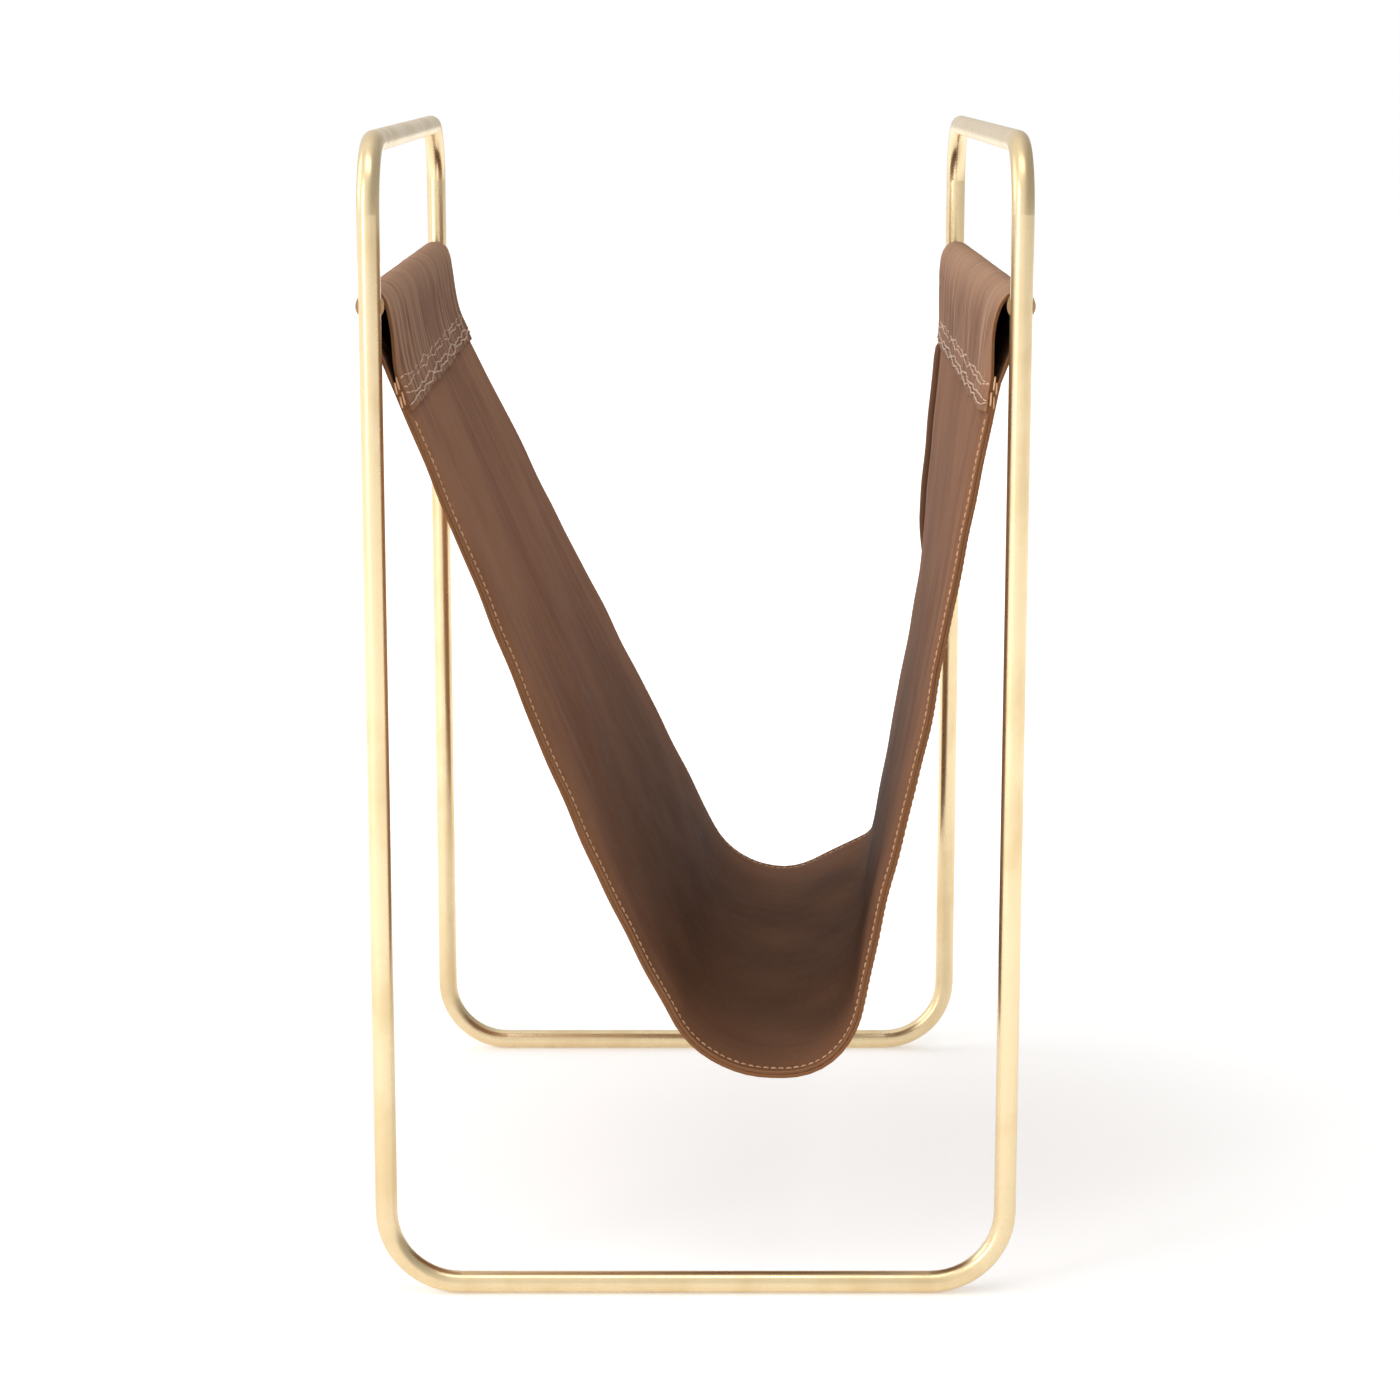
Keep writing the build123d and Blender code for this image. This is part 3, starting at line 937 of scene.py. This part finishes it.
def edge_row(side, face):
    """One row of stitches along a long edge; side is -1 front or 1 back, face 1 inner or -1 outer."""
    pitch, length = 3.0, 2.45
    first = np.arange(17.0, body_length - 17.0, pitch)
    seam_y = side * (half_width - seam_inset)
    off = 0.07 * wander(first, (7.1, 17.0, 5.3), 21 + side + face)
    y = seam_y + off
    swayed = sway(first + length / 2, y)
    rest = swayed + face * (layer / 2 + 0.83) - (face + 1) * pared(y)
    starts, _ = on_net(first, y, rest)
    ends, insides = on_net(first + length, y + 0.06 * np.sin(first * 1.9), rest)
    return starts, ends, insides * face


def edge_tacks(side, end):
    """Long stitches down the cut edge beside a flap; side is -1 or 1, end -1 front or 1 back."""
    top = np.array([-1.2, 0.6, 4.6, 6.2])
    foot = top + np.array([5.0, 4.6, 5.2, 4.4])
    from_push = np.array([1.1, -0.3, 0.9, -0.5])
    to_push = np.array([0.3, -1.1, 0.2, -1.2])
    depth = np.full(len(top), end * (half_width - 0.1))
    spots = []
    for down, push in ((top, from_push), (foot, to_push)):
        walked = down if side < 0 else body_length - down
        spots.append(on_net(walked, depth, sway(walked, depth) + push)[0])
    return spots[0], spots[1], np.tile(np.array([0.0, float(end), 0.0]), (len(top), 1))


def edge_seam(name, end):
    """The stitches of one long edge: a row on each face, and the tacks beside the two flaps."""
    rows = [edge_row(end, 1), edge_row(end, -1), edge_tacks(-1, end), edge_tacks(1, end)]
    return stitches(name, rows, edge_thread_radius)


front_seam = edge_seam("front_edge_stitches", -1)
rear_seam = edge_seam("rear_edge_stitches", 1)

# %% Four rows on each flap
row_places = (0.6, 2.7, 7.2, 9.4)
outer_skin = 1.93


def flap_row(side, number, face):
    """One wobbling row across a flap; side is -1 or 1, face 1 on the flap and -1 outside."""
    pitch, length = 4.3, 3.55
    y = np.arange(-half_width + 3.2, half_width - 3.2 - length, pitch)

    def below(depth):
        """How far under the sewn corner the row runs at a depth."""
        wobble = 1.25 * wander(depth, (37.0, 61.0, 19.0), 31 + 3 * side + 2.1 * number)
        return row_places[number] + wobble

    tilt = 0.32 * np.sin(np.arange(len(y)) * 2.4 + number)
    spots = []
    for depth, extra in ((y, -tilt), (y + length, tilt)):
        down = below(depth) + extra
        if face > 0:
            reach = flap_length(side, depth)
            start = np.interp(depth, across, net_walk[0])
            stop = np.interp(depth, across, net_walk[-1])
            walked = start + (reach - down) if side < 0 else stop - (reach - down)
            push = 3 * pared(depth) - outer_skin
        else:
            walked = down if side < 0 else body_length - down
            push = sway(walked, depth) - outer_skin
        spots.append(on_net(walked, depth, push))
    return spots[0][0], spots[1][0], -spots[1][1]


def flap_seam(name, side):
    """All the rows of one flap, on both faces."""
    rows = [flap_row(side, number, face) for face in (1, -1) for number in range(len(row_places))]
    return stitches(name, rows, flap_thread_radius)


left_seam = flap_seam("left_flap_stitches", -1)
right_seam = flap_seam("right_flap_stitches", 1)

# %% [markdown]
# ## Leather
#
# Brown leather shows four things at once. Its colour drifts in soft clouds. Fine streaks run along
# the strip, where it was stretched. Its surface has a fine pebble grain that only shows up close. And
# where it was cut or rubbed, the lighter tan inside comes through.
#
# The group below makes the masks for clouds, streaks and grain from the place on the hide that the
# net painted on each point. So the pattern bends over the rail with the leather, instead of cutting
# straight through it. Outer leather and lining share the group and differ in their tones.

# %% The hide group
def hide_group():
    """Clouds, streaks, wrinkles and grain of leather, from a place on the hide in metres."""
    tree, given, made = new_group(
        "hide_pattern",
        [("Hide", "vector", None), ("Grain per metre", "float", 900.0),
         ("Streaks per metre", "float", 120.0), ("Wrinkles per metre", "float", 165.0)],
        [("Clouds", "float"), ("Mottle", "float"), ("Streaks", "float"), ("Wrinkles", "float"),
         ("Grain", "float")],
    )
    hide = given.outputs["Hide"]
    tree.links.new(stretched_noise(tree, hide, (15.0, 9.0, 3.0), 3.0, 0.55), made.inputs["Clouds"])
    tree.links.new(stretched_noise(tree, hide, (150.0, 90.0, 5.0), 5.0, 0.62), made.inputs["Mottle"])
    for label, along in (("Streaks", 5.0), ("Wrinkles", 16.0)):
        scale = tree.nodes.new("ShaderNodeCombineXYZ")
        tree.links.new(given.outputs[label + " per metre"], scale.inputs["X"])
        scale.inputs["Y"].default_value = along
        scale.inputs["Z"].default_value = 7.0
        tree.links.new(stretched_noise(tree, hide, scale.outputs[0], 4.0, 0.6), made.inputs[label])
    cells = tree.nodes.new("ShaderNodeTexVoronoi")
    cells.feature = "DISTANCE_TO_EDGE"
    tree.links.new(given.outputs["Grain per metre"], cells.inputs["Scale"])
    tree.links.new(hide, cells.inputs["Vector"])
    pebbles = fade(tree, cells.outputs["Distance"], 0.0, 0.22)
    tree.links.new(pebbles, made.inputs["Grain"])
    return tree


hide_pattern = hide_group()


# %% Leather materials
def painted(tree, name, output="Fac"):
    """Reads a number or a vector that was painted on the points."""
    node = tree.nodes.new("ShaderNodeAttribute")
    node.attribute_name = name
    return node.outputs[output]


def shade(tone, share):
    """A tone at a share of its brightness."""
    return tuple(v * share for v in tone[:3]) + (1.0,)


def leather_material(name, deep, warm, rubbed_tone, edge_tone, roughness):
    """Leather from its deep and warm tones, its rubbed tone and the tone of its cut edge."""
    material, tree, shader = new_material(name)
    hide = painted(tree, "hide", "Vector")
    pattern = placed_group(tree, hide_pattern, Hide=hide)
    clouds, mottle = pattern.outputs["Clouds"], pattern.outputs["Mottle"]
    streaks, wrinkles = pattern.outputs["Streaks"], pattern.outputs["Wrinkles"]
    bent, cut_mask, rub, dark = (painted(tree, n) for n in ("bent", "cut", "rubbed", "dark"))

    tone = blend(tree, fade(tree, clouds, 0.34, 0.66), deep, warm)
    darker = shade(deep, 0.55)
    here = fade(tree, clouds, 0.62, 0.4, 0.35, 1.0)
    here = maths(tree, "MULTIPLY", here, fade(tree, dark, 0.0, 0.9, 1.0, 0.3))
    dark_streak = maths(tree, "MULTIPLY", fade(tree, streaks, 0.52, 0.68, 0.0, 0.34), here)
    tone = blend(tree, dark_streak, tone, darker)
    pale_streak = maths(tree, "MULTIPLY", fade(tree, streaks, 0.47, 0.34, 0.0, 0.28), here)
    tone = blend(tree, pale_streak, tone, rubbed_tone)
    # Painted shade darkens the valleys of the fine wrinkles on the loops, and their ridge tops are
    # lighter, partly rubbed and partly a painted highlight.
    fold_shade = maths(tree, "MULTIPLY", fade(tree, wrinkles, 0.5, 0.63, 0.0, 0.66), bent)
    tone = blend(tree, fold_shade, tone, shade(deep, 0.46))
    ridge_rub_and_highlight = maths(tree, "MULTIPLY", fade(tree, wrinkles, 0.47, 0.36, 0.0, 0.72), bent)
    tone = blend(tree, ridge_rub_and_highlight, tone, rubbed_tone)
    tone = blend(tree, fade(tree, mottle, 0.54, 0.76, 0.0, 0.2), tone, rubbed_tone)
    tone = blend(tree, fade(tree, mottle, 0.46, 0.28, 0.0, 0.28), tone, darker)
    tone = blend(tree, maths(tree, "MULTIPLY", rub, 0.55), tone, rubbed_tone)
    # Painted shade: the dark mark makes the leather much darker low in the sling and in the gap at the
    # back edge.
    tone = blend(tree, maths(tree, "MULTIPLY", dark, 0.85), tone, shade(deep, 0.24))

    raw = maths(tree, "MULTIPLY", cut_mask, fade(tree, mottle, 0.2, 0.6, 0.72, 1.0), clamp=True)
    fibre = blend(tree, fade(tree, streaks, 0.35, 0.65), edge_tone, shade(edge_tone, 0.6))
    tone = blend(tree, raw, tone, fibre)
    tree.links.new(tone, shader.inputs["Base Color"])

    rough = fade(tree, mottle, 0.25, 0.75, roughness - 0.07, roughness + 0.09)
    rough = blend(tree, raw, rough, 0.85, "FLOAT")
    tree.links.new(rough, shader.inputs["Roughness"])
    shader.inputs["Specular IOR Level"].default_value = 0.07
    shader.inputs["Sheen Weight"].default_value = 0.01
    shader.inputs["Sheen Roughness"].default_value = 0.5
    shader.inputs["Sheen Tint"].default_value = (0.9, 0.68, 0.52, 1.0)

    tight = blend(tree, rub, bent, 0.12, "FLOAT")
    folds = maths(tree, "MULTIPLY", wrinkles, tight)
    lines = maths(tree, "MULTIPLY", streaks, 0.16)
    height = maths(tree, "ADD", folds, lines)
    first = bump(tree, shader, height, 0.0016, 0.9)
    flat_grain = maths(tree, "MULTIPLY", pattern.outputs["Grain"], 0.6)
    fine = maths(tree, "ADD", flat_grain, maths(tree, "MULTIPLY", mottle, 1.6))
    bump(tree, shader, fine, 0.00014, 0.8, under=first)
    return material


outer_tone = leather_material(
    "brown_leather", (0.245, 0.122, 0.071, 1.0), (0.325, 0.17, 0.10, 1.0),
    (0.44, 0.265, 0.17, 1.0), (0.34, 0.15, 0.066, 1.0), 0.66,
)
lining_tone = leather_material(
    "brown_lining", (0.235, 0.106, 0.055, 1.0), (0.305, 0.145, 0.077, 1.0),
    (0.405, 0.225, 0.13, 1.0), (0.33, 0.15, 0.07, 1.0), 0.7,
)
outer.data.materials.append(outer_tone)
lining.data.materials.append(lining_tone)

# %% [markdown]
# Thread is two or three fine strands twisted together and waxed. The number painted along each stitch
# turns into slanting bands for the twist, darkened between the strands as painted shade, and another
# number gives every stitch a slightly different tone, because thread fades and soils unevenly.

# %% Thread material
def thread_material(name, pale, dark):
    """Waxed thread between a pale and a dark tone."""
    material, tree, shader = new_material(name)
    run = painted(tree, "run")
    strand = painted(tree, "strand")
    twist_length = 0.00062
    twist = maths(tree, "SINE", maths(tree, "MULTIPLY", run, 2 * math.pi / twist_length))
    twist = fade(tree, twist, -1.0, 1.0)
    tone = blend(tree, strand, pale, dark)
    # Painted shade: the grooves between the twisted strands are darkened.
    tone = blend(tree, fade(tree, twist, 0.4, 0.0, 0.0, 0.6), tone, shade(dark, 0.55))
    tree.links.new(tone, shader.inputs["Base Color"])
    tree.links.new(fade(tree, twist, 0.0, 1.0, 0.62, 0.48), shader.inputs["Roughness"])
    shader.inputs["Sheen Weight"].default_value = 0.2
    bump(tree, shader, twist, 0.00007, 0.7)
    return material


edge_thread = thread_material("tan_thread", (0.80, 0.47, 0.25, 1.0), (0.58, 0.30, 0.14, 1.0))
flap_thread = thread_material("pale_thread", (0.78, 0.53, 0.38, 1.0), (0.58, 0.37, 0.25, 1.0))
for seam, thread in ((front_seam, edge_thread), (rear_seam, edge_thread),
                     (left_seam, flap_thread), (right_seam, flap_thread)):
    seam.data.materials.append(thread)

# %% [markdown]
# ## Tying the pieces to the model
#
# The last step ties the pieces to the model. Nothing on this rack moves on a joint, so every piece
# rides on its one body, called root. A table lists the plain parts each piece stands for and its
# finish slot, and the plain parts are hidden.

# %% Pieces and slots
stands_for = {
    outer: (("sling_leather",), "leather"),
    lining: (("sling_lining",), "lining_leather"),
    front_seam: (("front_edge_thread",), "thread"),
    rear_seam: (("rear_edge_thread",), "thread"),
    left_seam: (("left_loop_thread",), "thread"),
    right_seam: (("right_loop_thread",), "thread"),
}
for piece, (parts, finish) in stands_for.items():
    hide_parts(*parts)
    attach(piece, "root")
